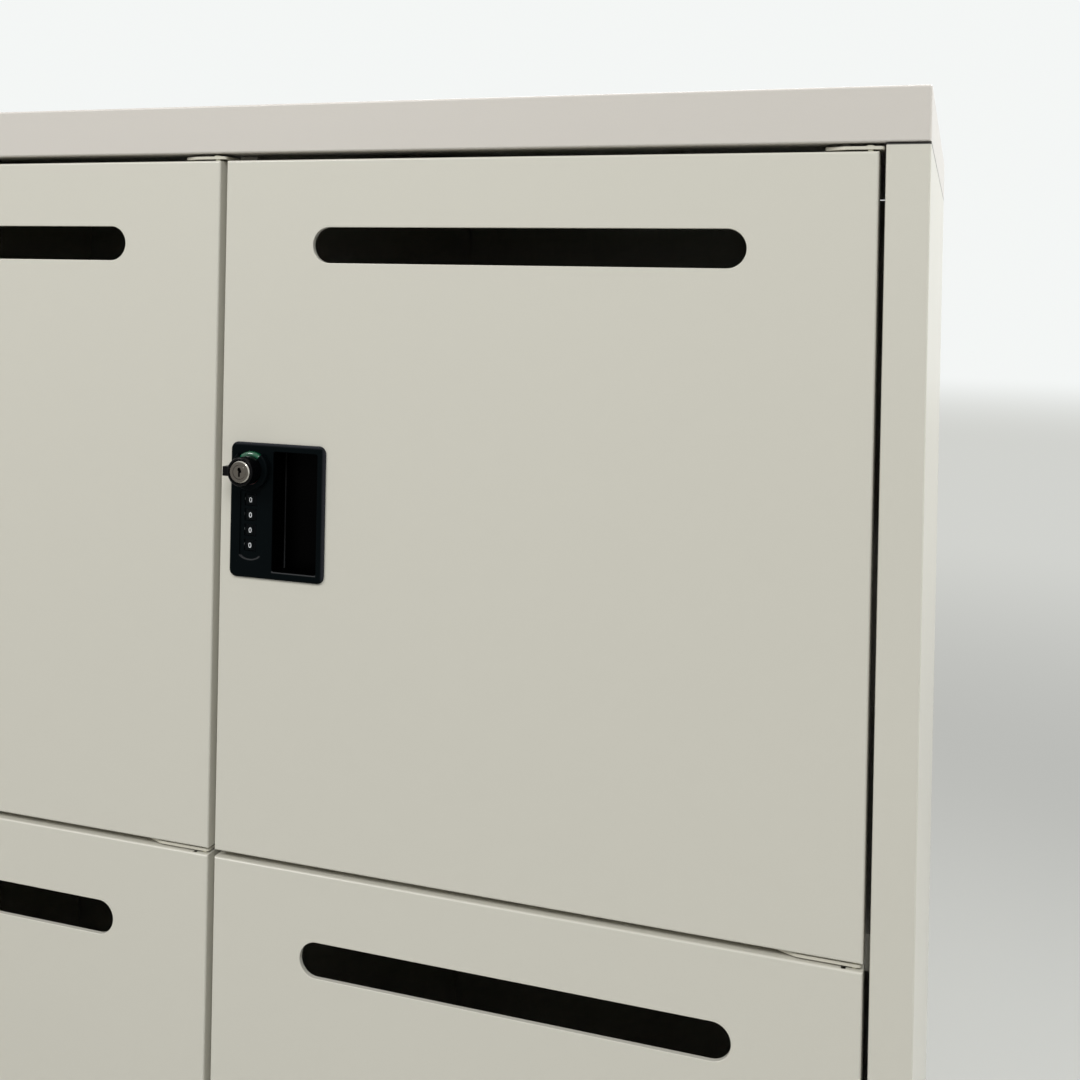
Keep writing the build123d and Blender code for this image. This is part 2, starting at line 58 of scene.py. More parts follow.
class Row(Enum):
    """The two rows of compartments."""

    LOWER = "lower"
    UPPER = "upper"


# ---------------------------------------------------------------- node tools
def add_node(tree: bpy.types.NodeTree, kind: str, **values: object) -> bpy.types.Node:
    """Adds a shader node.

    Args:
        tree: The tree that gets the node.
        kind: The node's type name.
        **values: Properties of the node.

    Returns:
        The new node.
    """
    node = tree.nodes.new(kind)
    for name, value in values.items():
        setattr(node, name, value)
    return node


def add_math(
    tree: bpy.types.NodeTree, operation: str, first: object, second: object = None, clamp: bool = False
) -> bpy.types.NodeSocket:
    """Adds a Math node.

    Args:
        tree: The tree that gets the node.
        operation: The node's operation.
        first: A socket or a number for the first input.
        second: A socket or a number for the second input, if it has one.
        clamp: Whether the result is kept between 0 and 1.

    Returns:
        The node's output socket.
    """
    node = add_node(tree, "ShaderNodeMath", operation=operation, use_clamp=clamp)
    for socket, value in zip(node.inputs, (first, second)):
        if isinstance(value, bpy.types.NodeSocket):
            tree.links.new(value, socket)
        elif value is not None:
            socket.default_value = value
    return node.outputs[0]


def add_map(
    tree: bpy.types.NodeTree, value: bpy.types.NodeSocket, low: float, high: float, start: float, end: float
) -> bpy.types.NodeSocket:
    """Adds a Map Range node that takes low..high to start..end, clamped.

    Args:
        tree: The tree that gets the node.
        value: The socket to map.
        low: Input that gives start.
        high: Input that gives end.
        start: Result at low.
        end: Result at high.

    Returns:
        The node's output socket.
    """
    node = add_node(tree, "ShaderNodeMapRange")
    tree.links.new(value, node.inputs["Value"])
    for name, number in (("From Min", low), ("From Max", high), ("To Min", start), ("To Max", end)):
        node.inputs[name].default_value = number
    return node.outputs["Result"]


def new_group(
    name: str, inputs: dict[str, tuple[str, object]], outputs: dict[str, str]
) -> tuple[bpy.types.NodeTree, bpy.types.Node, bpy.types.Node]:
    """Makes an empty shader node group with named sockets.

    Args:
        name: The group's name.
        inputs: Socket name to its type and default value.
        outputs: Socket name to its type.

    Returns:
        The group, its input node and its output node.
    """
    group = bpy.data.node_groups.new(name, "ShaderNodeTree")
    for label, (kind, default) in inputs.items():
        socket = group.interface.new_socket(name=label, in_out="INPUT", socket_type=kind)
        socket.default_value = default
    for label, kind in outputs.items():
        group.interface.new_socket(name=label, in_out="OUTPUT", socket_type=kind)
    return group, add_node(group, "NodeGroupInput"), add_node(group, "NodeGroupOutput")


def mix_colour(
    tree: bpy.types.NodeTree, factor: bpy.types.NodeSocket, first: object, second: object
) -> bpy.types.NodeSocket:
    """Mixes two colours.

    Args:
        tree: The tree that gets the node.
        factor: 0 gives first and 1 gives second.
        first: A socket or an RGB tuple.
        second: A socket or an RGB tuple.

    Returns:
        The mixed colour's socket.
    """
    node = add_node(tree, "ShaderNodeMix", data_type="RGBA")
    tree.links.new(factor, node.inputs[0])
    for socket, value in ((node.inputs[6], first), (node.inputs[7], second)):
        if isinstance(value, bpy.types.NodeSocket):
            tree.links.new(value, socket)
        else:
            socket.default_value = (*value[:3], 1.0)
    return node.outputs[2]


def object_place(tree: bpy.types.NodeTree) -> dict[str, bpy.types.NodeSocket]:
    """Splits the object coordinates.

    Args:
        tree: The tree that gets the nodes.

    Returns:
        The sockets of X, Y and Z.
    """
    split = add_node(tree, "ShaderNodeSeparateXYZ")
    tree.links.new(add_node(tree, "ShaderNodeTexCoord").outputs["Object"], split.inputs[0])
    return {axis: split.outputs[axis] for axis in "XYZ"}


def span_mask(
    tree: bpy.types.NodeTree,
    place: dict[str, bpy.types.NodeSocket],
    soft: float,
    **spans: tuple[float, float],
) -> bpy.types.NodeSocket:
    """Gives 1 inside a box and 0 outside it.

    Args:
        tree: The tree that gets the nodes.
        place: The sockets of the coordinates.
        soft: Width of the box's soft border, in metres.
        **spans: Low and high limit of each axis that matters, in metres.

    Returns:
        The mask's socket.
    """
    mask = None
    for axis, (low, high) in spans.items():
        offset = add_math(tree, "ABSOLUTE", add_math(tree, "SUBTRACT", place[axis], (low + high) / 2))
        half = (high - low) / 2
        inside = add_map(tree, offset, half - soft / 2, half + soft / 2, 1.0, 0.0)
        mask = inside if mask is None else add_math(tree, "MULTIPLY", mask, inside)
    return mask


def build_surface_grain() -> bpy.types.NodeTree:
    """Builds the group shared by every finish: fine bumps, slow mottling and roughness to match.

    Returns:
        The node group.
    """
    group, inside, outside = new_group(
        "surface_grain",
        {
            "Colour": ("NodeSocketColor", (0.5, 0.5, 0.5, 1.0)),
            "Mottle": ("NodeSocketFloat", 0.02),
            "Grain Scale": ("NodeSocketFloat", 900.0),
            "Roughness": ("NodeSocketFloat", 0.4),
            "Roughness Spread": ("NodeSocketFloat", 0.05),
        },
        {"Colour": "NodeSocketColor", "Roughness": "NodeSocketFloat", "Height": "NodeSocketFloat"},
    )
    place = add_node(group, "ShaderNodeTexCoord").outputs["Object"]
    fine = add_node(group, "ShaderNodeTexNoise")
    fine.inputs["Detail"].default_value = 3.0
    fine.inputs["Roughness"].default_value = 0.55
    group.links.new(place, fine.inputs["Vector"])
    group.links.new(inside.outputs["Grain Scale"], fine.inputs["Scale"])
    slow = add_node(group, "ShaderNodeTexNoise")
    slow.inputs["Scale"].default_value = 3.2
    slow.inputs["Detail"].default_value = 4.0
    group.links.new(place, slow.inputs["Vector"])
    centred = add_math(group, "SUBTRACT", slow.outputs["Fac"], 0.5)
    speck = add_math(group, "SUBTRACT", fine.outputs["Fac"], 0.5)
    shade = add_math(group, "MULTIPLY", centred, inside.outputs["Mottle"])
    dots = add_math(group, "MULTIPLY", speck, inside.outputs["Mottle"])
    gain = add_math(group, "ADD", add_math(group, "ADD", shade, dots), 1.0)
    tint = add_node(group, "ShaderNodeVectorMath", operation="SCALE")
    group.links.new(inside.outputs["Colour"], tint.inputs[0])
    group.links.new(gain, tint.inputs["Scale"])
    group.links.new(tint.outputs[0], outside.inputs["Colour"])
    wander = add_math(group, "MULTIPLY", centred, inside.outputs["Roughness Spread"])
    rough = add_math(group, "ADD", wander, inside.outputs["Roughness"], clamp=True)
    group.links.new(rough, outside.inputs["Roughness"])
    group.links.new(fine.outputs["Fac"], outside.inputs["Height"])
    return group


@dataclass(frozen=True)
class Finish:
    """A surface finish.

    Attributes:
        name: The material's name.
        colour: Linear base colour.
        roughness: Middle roughness.
        metallic: 1 for bare metal.
        mottle: How much the colour wanders.
        spread: How much the roughness wanders.
        grain: Grain scale, per metre.
        depth: Grain height in metres.
        coat: Weight of a clear gloss coat.
        specular: Specular level of the shader.
    """

    name: str
    colour: tuple[float, float, float]
    roughness: float
    metallic: float = 0.0
    mottle: float = 0.03
    spread: float = 0.08
    grain: float = 900.0
    depth: float = 0.00004
    coat: float = 0.0
    specular: float = 0.5

    def start(
        self, grain_group: bpy.types.NodeTree
    ) -> tuple[bpy.types.Material, bpy.types.Node, bpy.types.Node]:
        """Makes the material with its shader and grain linked.

        Args:
            grain_group: The shared surface grain group.

        Returns:
            The material, its Principled shader and its grain node.
        """
        material = bpy.data.materials.new(self.name)
        material.use_nodes = True
        tree = material.node_tree
        shader = tree.nodes["Principled BSDF"]
        grain = add_node(tree, "ShaderNodeGroup", node_tree=grain_group)
        grain.inputs["Colour"].default_value = (*self.colour, 1.0)
        grain.inputs["Mottle"].default_value = self.mottle
        grain.inputs["Grain Scale"].default_value = self.grain
        grain.inputs["Roughness"].default_value = self.roughness
        grain.inputs["Roughness Spread"].default_value = self.spread
        tree.links.new(grain.outputs["Colour"], shader.inputs["Base Color"])
        tree.links.new(grain.outputs["Roughness"], shader.inputs["Roughness"])
        shader.inputs["Metallic"].default_value = self.metallic
        shader.inputs["Coat Weight"].default_value = self.coat
        shader.inputs["Specular IOR Level"].default_value = self.specular
        bump = add_node(tree, "ShaderNodeBump")
        bump.inputs["Strength"].default_value = 1.0
        bump.inputs["Distance"].default_value = self.depth
        tree.links.new(grain.outputs["Height"], bump.inputs["Height"])
        tree.links.new(bump.outputs["Normal"], shader.inputs["Normal"])
        return material, shader, grain

    def build(self, grain_group: bpy.types.NodeTree) -> bpy.types.Material:
        """Makes the finished material."""
        return self.start(grain_group)[0]


@dataclass(frozen=True)
class IndicatorFinish(Finish):
    """Glossy ring, green where it shows when unlocked and red where it shows when locked.

    Attributes:
        locked_colour: Colour of the sector that shows when locked.
    """

    locked_colour: tuple[float, float, float] = (0.42, 0.01, 0.01)

    def build_about(self, grain_group: bpy.types.NodeTree, axis: Vector) -> bpy.types.Material:
        """Makes the ring's material about one knob's axis.

        Args:
            grain_group: The shared surface grain group.
            axis: A point on the knob's axis.

        Returns:
            The material.
        """
        material, shader, grain = self.start(grain_group)
        tree = material.node_tree
        place = object_place(tree)
        across = add_math(tree, "SUBTRACT", place["X"], axis.x)
        up = add_math(tree, "SUBTRACT", place["Z"], axis.z)
        lean = add_math(tree, "ADD", across, up)
        locked = add_map(tree, lean, -CRISP / 2, CRISP / 2, 1.0, 0.0)
        colour = mix_colour(tree, locked, grain.outputs["Colour"], self.locked_colour)
        tree.links.new(colour, shader.inputs["Base Color"])
        return material


@dataclass(frozen=True)
class SeamedCoat(Finish):
    """Powder coat with shade painted as a dark band where two panels meet.

    Attributes:
        seam_colour: Linear colour of the painted shade in the seam.
        seam_height: Height of the band of painted shade, in metres.
        tongue_height: Height of the tongue behind the upper panel that gets the painted shade too, in metres.
    """

    seam_colour: tuple[float, float, float] = (0.030, 0.028, 0.026)
    seam_height: float = 1.6 * MM
    tongue_height: float = 2.0 * MM

    def build_along(self, grain_group: bpy.types.NodeTree, seam: float) -> bpy.types.Material:
        """Makes the coat's material for one panel.

        Args:
            grain_group: The shared surface grain group.
            seam: Height of the seam's upper edge.

        Returns:
            The material.
        """
        material, shader, grain = self.start(grain_group)
        tree = material.node_tree
        # Shade painted into the seam below the cap and onto the tongue behind it.
        band = (seam - self.seam_height, seam + self.tongue_height)
        seam_shade = span_mask(tree, object_place(tree), CRISP, Z=band)
        colour = mix_colour(tree, seam_shade, grain.outputs["Colour"], self.seam_colour)
        tree.links.new(colour, shader.inputs["Base Color"])
        return material


@dataclass(frozen=True)
class HingeCoat(Finish):
    """Powder coat that leaves the hinge pins as bare zinc.

    Attributes:
        pin_radius: Radius of the pins' heads, in metres.
        zinc_colour: Linear colour of the pins.
    """

    pin_radius: float = 3.6 * MM
    zinc_colour: tuple[float, float, float] = (0.52, 0.50, 0.40)

    def build_round(self, grain_group: bpy.types.NodeTree, pins: list[Vector]) -> bpy.types.Material:
        """Makes the hinges' material.

        Args:
            grain_group: The shared surface grain group.
            pins: A point on each pin's axis.

        Returns:
            The material.
        """
        material, shader, grain = self.start(grain_group)
        tree = material.node_tree
        place = object_place(tree)
        nearest = None
        for pin in pins:
            across = add_math(tree, "POWER", add_math(tree, "SUBTRACT", place["X"], pin.x), 2.0)
            along = add_math(tree, "POWER", add_math(tree, "SUBTRACT", place["Y"], pin.y), 2.0)
            away = add_math(tree, "SQRT", add_math(tree, "ADD", across, along))
            nearest = away if nearest is None else add_math(tree, "MINIMUM", nearest, away)
        bare = add_map(tree, nearest, self.pin_radius - CRISP / 2, self.pin_radius + CRISP / 2, 1.0, 0.0)
        colour = mix_colour(tree, bare, grain.outputs["Colour"], self.zinc_colour)
        tree.links.new(colour, shader.inputs["Base Color"])
        tree.links.new(bare, shader.inputs["Metallic"])
        return material


@dataclass(frozen=True)
class LockPlastic(Finish):
    """Moulded black plastic, with highlights painted lighter on the bezel's top and right edges, the recess's
    crease and lip and the dial panel's end, and shade painted darker deep in the finger recess.

    Attributes:
        edge_colour: Linear colour of the painted highlight on the bezel's rounded edge.
        deep_colour: Linear colour of the shade painted deep in the finger recess.
        line_colour: Linear colour of the painted highlight lines.
        edge_width: Width of the bezel's rounded edge, in metres.
        soft: Width of each painted area's border, in metres.
        skin: How far in front of and behind the bezel's face its painted highlights reach, in metres.
        deep_start: Depth at which the painted recess shade starts, in metres.
        deep_past: How far the painted shade runs past the recess's walls, in metres.
        crease: Distances of the crease's painted highlight from the recess's left wall, in metres.
        crease_half: Half of the crease's depth, in metres.
        crease_fade: Height over which the crease's painted highlight fades upwards, in metres.
        crease_left: Share of the crease that is left at its top.
        lip: How far the painted highlight on the lip reaches below and above the recess's foot, in metres.
        lip_depth: Half of the lip's depth, in metres.
        ring: Share of the dial panel's size over which the painted highlight along its end fades.
        ring_start: Share of the end's height at which the painted highlight starts.
    """

    edge_colour: tuple[float, float, float] = (0.030, 0.031, 0.037)
    deep_colour: tuple[float, float, float] = (0.0002, 0.0002, 0.0002)
    line_colour: tuple[float, float, float] = (0.045, 0.046, 0.048)
    edge_width: float = 2.4 * MM
    soft: float = 0.5 * MM
    skin: tuple[float, float] = (1.0 * MM, 3.0 * MM)
    deep_start: float = 0.9 * MM
    deep_past: float = 1.0 * MM
    crease: tuple[float, float] = (0.8 * MM, 1.6 * MM)
    crease_half: float = 0.5 * MM
    crease_fade: float = 30.0 * MM
    crease_left: float = 0.35
    lip: tuple[float, float] = (0.6 * MM, 0.5 * MM)
    lip_depth: float = 1.0 * MM
    ring: tuple[float, float] = (0.04, 0.14)
    ring_start: float = 0.35

    def edge_wear(
        self, tree: bpy.types.NodeTree, place: dict[str, bpy.types.NodeSocket], face: "LockFace"
    ) -> bpy.types.NodeSocket:
        """Gives 1 on the top and right edges of the bezel, where a highlight is painted."""
        edge = self.edge_width
        middle = span_mask(
            tree,
            place,
            edge,
            X=(face.left - edge, face.right - edge / 2),
            Z=(face.bottom - edge, face.top - edge / 2),
        )
        bezel = span_mask(tree, place, self.soft, Y=(face.plane - self.skin[0], face.plane + self.skin[1]))
        return add_math(tree, "MULTIPLY", add_math(tree, "SUBTRACT", 1.0, middle), bezel)

    def recess_depth(
        self, tree: bpy.types.NodeTree, place: dict[str, bpy.types.NodeSocket], face: "LockFace"
    ) -> bpy.types.NodeSocket:
        """Gives 1 on the walls and the floor of the finger recess, where shade is painted."""
        left, right, foot, head = face.recess
        past = self.deep_past
        return span_mask(
            tree,
            place,
            self.soft,
            X=(left - past, right + past),
            Y=(face.plane + self.deep_start, face.recess_floor + past),
            Z=(foot - past, head + past),
        )

    def crease_wear(
        self, tree: bpy.types.NodeTree, place: dict[str, bpy.types.NodeSocket], face: "LockFace"
    ) -> bpy.types.NodeSocket:
        """Gives 1 at the foot of the recess's rear left corner, and less above it, where a highlight line is
        painted.
        """
        left, _, foot, _ = face.recess
        floor = face.recess_floor
        line = span_mask(
            tree,
            place,
            self.soft,
            X=(left + self.crease[0], left + self.crease[1]),
            Y=(floor - self.crease_half, floor + self.crease_half),
        )
        fall = add_map(tree, place["Z"], foot, foot + self.crease_fade, 1.0, self.crease_left)
        return add_math(tree, "MULTIPLY", line, fall)

    def lip_wear(
        self, tree: bpy.types.NodeTree, place: dict[str, bpy.types.NodeSocket], face: "LockFace"
    ) -> bpy.types.NodeSocket:
        """Gives 1 on the lip below the finger recess, where a highlight line is painted."""
        left, right, foot, _ = face.recess
        return span_mask(
            tree,
            place,
            self.soft * 0.6,
            X=(left, right),
            Y=(face.plane - self.lip_depth, face.plane + self.lip_depth),
            Z=(foot - self.lip[0], foot + self.lip[1]),
        )

    def panel_wear(
        self, tree: bpy.types.NodeTree, place: dict[str, bpy.types.NodeSocket], face: "LockFace"
    ) -> bpy.types.NodeSocket:
        """Gives 1 along the dial panel's rounded end, where a highlight is painted."""
        x, z, half, drop = face.panel_end
        offset_x = add_math(tree, "SUBTRACT", place["X"], x)
        offset_z = add_math(tree, "SUBTRACT", place["Z"], z)
        across = add_math(tree, "POWER", add_math(tree, "DIVIDE", offset_x, half), 2.0)
        along = add_math(tree, "POWER", add_math(tree, "DIVIDE", offset_z, drop), 2.0)
        size = add_math(tree, "SQRT", add_math(tree, "ADD", across, along))
        apart = add_math(tree, "ABSOLUTE", add_math(tree, "SUBTRACT", size, 1.0))
        ring = add_map(tree, apart, *self.ring, 1.0, 0.0)
        low = span_mask(
            tree,
            place,
            self.soft,
            Y=(face.plane - self.skin[0], face.plane + self.skin[1]),
            Z=(z - 2 * drop, z - self.ring_start * drop),
        )
        return add_math(tree, "MULTIPLY", ring, low)

    def build_on(self, grain_group: bpy.types.NodeTree, face: "LockFace") -> bpy.types.Material:
        """Makes the housing's material for one lock.

        Args:
            grain_group: The shared surface grain group.
            face: Where the lock's features lie.

        Returns:
            The material.
        """
        material, shader, grain = self.start(grain_group)
        tree = material.node_tree
        place = object_place(tree)
        colour = grain.outputs["Colour"]
        # Painted highlights on the bezel's edges, the crease, the lip and the dial panel's end, and painted
        # shade deep in the recess.
        for mask, tone in (
            (self.edge_wear, self.edge_colour),
            (self.recess_depth, self.deep_colour),
            (self.crease_wear, self.line_colour),
            (self.lip_wear, self.line_colour),
            (self.panel_wear, self.line_colour),
        ):
            colour = mix_colour(tree, mask(tree, place, face), colour, tone)
        tree.links.new(colour, shader.inputs["Base Color"])
        return material


@dataclass(frozen=True)
class TurnedMetal(Finish):
    """Satin metal with fine turning rings about an axis along Y, and a highlight painted lighter on its rim.

    Attributes:
        ring_pitch: Distance between turning rings, in metres.
        ring_height: Height of the rings, as a share of the grain's.
        rim_radius: Where the rim with its painted highlight begins, in metres.
        rim_colour: Linear colour of the painted highlight on the rim.
    """

    ring_pitch: float = 0.5 * MM
    ring_height: float = 0.25
    rim_radius: float = 7.4 * MM
    rim_colour: tuple[float, float, float] = (0.55, 0.52, 0.47)

    def build_about(self, grain_group: bpy.types.NodeTree, axis: Vector) -> bpy.types.Material:
        """Makes the metal's material about one axis.

        Args:
            grain_group: The shared surface grain group.
            axis: A point on the turning axis.

        Returns:
            The material.
        """
        material, shader, grain = self.start(grain_group)
        tree = material.node_tree
        place = object_place(tree)
        across = add_math(tree, "SUBTRACT", place["X"], axis.x)
        up = add_math(tree, "SUBTRACT", place["Z"], axis.z)
        square_x = add_math(tree, "POWER", across, 2.0)
        square_z = add_math(tree, "POWER", up, 2.0)
        radius = add_math(tree, "SQRT", add_math(tree, "ADD", square_x, square_z))
        turns = add_math(tree, "MULTIPLY", radius, 2 * math.pi / self.ring_pitch)
        rings = add_math(tree, "MULTIPLY", add_math(tree, "SINE", turns), self.ring_height)
        height = add_math(tree, "ADD", rings, grain.outputs["Height"])
        bump = shader.inputs["Normal"].links[0].from_node
        tree.links.new(height, bump.inputs["Height"])
        # The rim is painted lighter as a highlight.
        rim = add_map(tree, radius, self.rim_radius - CRISP / 2, self.rim_radius + CRISP / 2, 0.0, 1.0)
        colour = mix_colour(tree, rim, grain.outputs["Colour"], self.rim_colour)
        tree.links.new(colour, shader.inputs["Base Color"])
        return material


@dataclass
class Finishes:
    """Every finish of the locker, and the group that they share."""

    panel: Finish = Finish(
        "panel_powder_coat", (0.612, 0.594, 0.524), 0.30, mottle=0.02, grain=700.0, depth=0.00003
    )
    side: SeamedCoat = SeamedCoat(
        "side_powder_coat", (0.612, 0.594, 0.524), 0.30, mottle=0.02, grain=700.0, depth=0.00003
    )
    hinge: HingeCoat = HingeCoat(
        "hinge_powder_coat", (0.600, 0.575, 0.490), 0.34, mottle=0.04, grain=700.0
    )
    cap: Finish = Finish(
        "cap_powder_coat", (0.606, 0.574, 0.530), 0.30, mottle=0.02, grain=700.0, depth=0.00003
    )
    inner: Finish = Finish("inner_powder_coat", (0.520, 0.505, 0.445), 0.45, mottle=0.03, grain=700.0)
    zinc: Finish = Finish("zinc_plate", (0.50, 0.485, 0.44), 0.34, metallic=1.0, mottle=0.12, grain=420.0)
    housing: LockPlastic = LockPlastic(
        "lock_housing_plastic", (0.0020, 0.0034, 0.0040), 0.36, mottle=0.12, grain=2600.0, specular=0.02
    )
    knob: Finish = Finish(
        "knob_plastic", (0.0015, 0.0015, 0.002), 0.20, mottle=0.05, grain=2200.0, depth=0.00001, specular=0.10
    )
    dial: Finish = Finish(
        "dial_plastic", (0.0012, 0.002, 0.0026), 0.34, mottle=0.08, grain=2400.0, depth=0.00002, specular=0.05
    )
    digit: Finish = Finish("digit_paint", (0.72, 0.74, 0.76), 0.50, mottle=0.02, grain=3000.0, depth=0.00001)
    rubber: Finish = Finish("buffer_rubber", (0.035, 0.034, 0.033), 0.75, mottle=0.10, grain=1500.0)
    indicator: IndicatorFinish = IndicatorFinish(
        "indicator_gloss", (0.001, 0.085, 0.036), 0.12, mottle=0.03, grain=1200.0, depth=0.000005, coat=0.6
    )
    # The nickel's base colour is kept dark as a painted reflection of dark surroundings.
    turned: TurnedMetal = TurnedMetal(
        "cylinder_nickel", (0.15, 0.135, 0.118), 0.20, metallic=1.0, mottle=0.06, grain=1500.0, depth=0.000012
    )
    grain: bpy.types.NodeTree = field(default_factory=build_surface_grain)
    made: dict[str, bpy.types.Material] = field(default_factory=dict)

    def plain(self, finish: Finish) -> bpy.types.Material:
        """Gives a finish's one material, made at its first use."""
        if finish.name not in self.made:
            self.made[finish.name] = finish.build(self.grain)
        return self.made[finish.name]


def dress(node: str, material: bpy.types.Material) -> None:
    """Gives a CAD node one material.

    Args:
        node: The node's name.
        material: Its new material.
    """
    piece = frame["nodes"][node]
    if not piece.material_slots:
        piece.data.materials.append(material)
    for place in piece.material_slots:
        place.material = material
    LOG.info("dressed %s with %s", node, material.name)


def joint_axis(name: str) -> Vector:
    """Gives the point on a joint's axis that the record states."""
    return next(Vector(j["pos_m"]) for j in frame["joints"] if j["name"] == name)


# ---------------------------------------------------------------- sub-assemblies
@dataclass
class Carcass:
    """The cabinet: cap, base, sides, back, partition, shelves, hinges and buffers."""

    finishes: Finishes

    def build(self) -> None:
        """Dresses every node of the cabinet."""
        plain = self.finishes.plain
        for node in ("top_cap", "base_tray"):
            dress(node, plain(self.finishes.cap))
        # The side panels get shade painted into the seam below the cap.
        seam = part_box("top_cap")[0][2]
        coat = self.finishes.side.build_along(self.finishes.grain, seam)
        for node in ("side_panel_left", "side_panel_right"):
            dress(node, coat)
        for node in ("back_panel", "centre_partition", "floor_panel", "shelf_left", "shelf_right"):
            dress(node, plain(self.finishes.inner))
        pins = [joint_axis(f"{Row.UPPER.value}_{column.value}_door_hinge") for column in Column]
        dress("hinges", self.finishes.hinge.build_round(self.finishes.grain, pins))
        dress("shelf_rivets", plain(self.finishes.zinc))
        dress("door_buffers", plain(self.finishes.rubber))


@dataclass
class Dial:
    """One combination dial with a figure on each of its flats.

    Attributes:
        finishes: The locker's finishes.
        door: Name of the door, such as upper_left.
        number: 1 for the top dial.
        text_size: Font size of the figures.
        text_depth: How thick the paint is.
        text_lift: Share of the paint's thickness from the flat to the paint's middle.
        figures: How many flats the dial has.
    """

    finishes: Finishes
    door: str
    number: int
    text_size: float = 5.4 * MM
    text_depth: float = 0.06 * MM
    text_lift: float = 0.4
    figures: int = 10

    def figure_mesh(self, figure: int) -> bpy.types.Mesh:
        """Makes one figure, upright in the XZ plane, centred, facing -Y.

        Args:
            figure: The figure, from 0 to 9.

        Returns:
            The figure's mesh.
        """
        curve = bpy.data.curves.new(f"figure_{figure}", "FONT")
        curve.body = str(figure)
        curve.size = self.text_size
        curve.extrude = self.text_depth / 2
        curve.align_x = "CENTER"
        curve.align_y = "CENTER"
        curve.resolution_u = 4
        holder = bpy.data.objects.new("figure_holder", curve)
        mesh = bpy.data.meshes.new_from_object(holder)
        bpy.data.objects.remove(holder)
        bpy.data.curves.remove(curve)
        mesh.transform(Matrix.Rotation(math.radians(90), 4, "X"))
        xs = [v.co.x for v in mesh.vertices]
        zs = [v.co.z for v in mesh.vertices]
        mesh.transform(Matrix.Translation((-(min(xs) + max(xs)) / 2, 0, -(min(zs) + max(zs)) / 2)))
        return mesh

    def build(self) -> None:
        """Dresses the dial and paints its figures."""
        node = f"dial_{self.number}_{self.door}"
        dress(node, self.finishes.plain(self.finishes.dial))
        low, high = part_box(node)
        axis = joint_axis(f"{self.door}_dial_{self.number}_turn")
        flat = (high[1] - low[1]) / 2
        middle = (low[2] + high[2]) / 2
        whole = bmesh.new()
        for figure in range(self.figures):
            mesh = self.figure_mesh(figure)
            mesh.transform(Matrix.Translation((0, -flat - self.text_depth * self.text_lift, 0)))
            mesh.transform(Matrix.Rotation(2 * math.pi * figure / self.figures, 4, "Z"))
            whole.from_mesh(mesh)
            bpy.data.meshes.remove(mesh)
        name = f"dial_{self.number}_figures_{self.door}"
        mesh = bpy.data.meshes.new(name)
        whole.to_mesh(mesh)
        whole.free()
        mesh.transform(Matrix.Translation((axis.x, axis.y, middle)))
        piece = bpy.data.objects.new(name, mesh)
        bpy.context.scene.collection.objects.link(piece)
        mesh.materials.append(self.finishes.plain(self.finishes.digit))
        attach(piece, f"{self.door}_dial_{self.number}")
        LOG.info("built %s", name)


@dataclass(frozen=True)
class LockFace:
    """Where the features of one lock's face lie, in metres.

    Attributes:
        left: Left edge of the bezel.
        right: Right edge of the bezel.
        bottom: Bottom of the bezel.
        top: Top of the bezel.
        plane: Y of the bezel's front.
        dial_x: Middle of the dials.
        last_dial: Height of the lowest dial.
        recess_left: Distance of the finger recess from the bezel's left edge.
        recess_width: Width of the recess.
        recess_margin: Distance of the recess from the bezel's top and bottom.
        recess_depth: Depth of the recess.
        panel_half: Half of the dial panel's width.
        panel_foot: Distance of the panel's end from the lowest dial.
        panel_end_shape: Height of the panel's rounded end, as a share of half its width.
    """

    left: float
    right: float
    bottom: float
    top: float
    plane: float
    dial_x: float
    last_dial: float
    recess_left: float = 35.2 * MM
    recess_width: float = 35.7 * MM
    recess_margin: float = 5.8 * MM
    recess_depth: float = 17.0 * MM
    panel_half: float = 8.5 * MM
    panel_foot: float = 10.4 * MM
    panel_end_shape: float = 0.55

    @property
    def recess_floor(self) -> float:
        """Y of the recess's floor."""
        return self.plane + self.recess_depth

    @property
    def recess(self) -> tuple[float, float, float, float]:
        """Left, right, foot and head of the finger recess."""
        left = self.left + self.recess_left
        return left, left + self.recess_width, self.bottom + self.recess_margin, self.top - self.recess_margin

    @property
    def panel_end(self) -> tuple[float, float, float, float]:
        """Centre and half sizes of the dial panel's rounded end."""
        drop = self.panel_half * self.panel_end_shape
        return self.dial_x, self.last_dial - self.panel_foot + drop, self.panel_half, drop


